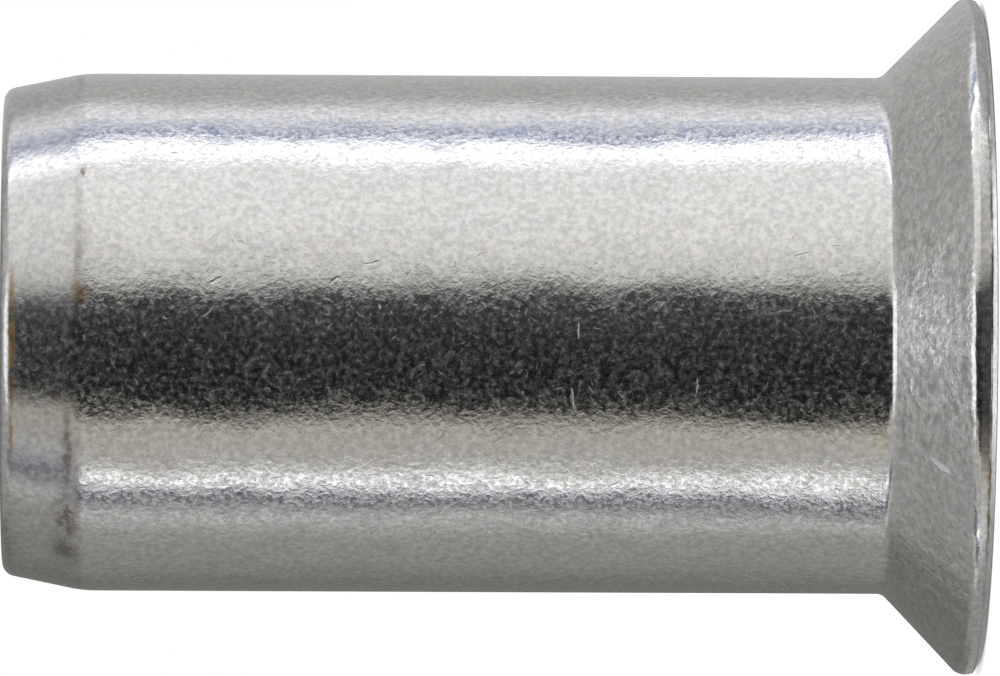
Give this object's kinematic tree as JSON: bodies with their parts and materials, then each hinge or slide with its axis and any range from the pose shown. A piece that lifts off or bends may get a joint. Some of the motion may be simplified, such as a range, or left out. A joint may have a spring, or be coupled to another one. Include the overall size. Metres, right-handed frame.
{
  "type": "rivet nut",
  "caption": "Open-ended rivet nut with a plain round shank, a countersunk head and a threaded nose; set in a hole in sheet metal, it gives a screw a thread.",
  "frame": {"origin": "centre of the head's flat face, on the axis", "axes": "+Z along the axis from the head's face to the nose, so the part stands on its head; it is turned about Z, so +X and +Y are any two directions square to it"},
  "size_m": [0.0118, 0.0118, 0.017],
  "materials": {
    "steel": "satin"
  },
  "bodies": {
    "root": {"rivet_nut": "steel"}
  },
  "joints": []
}
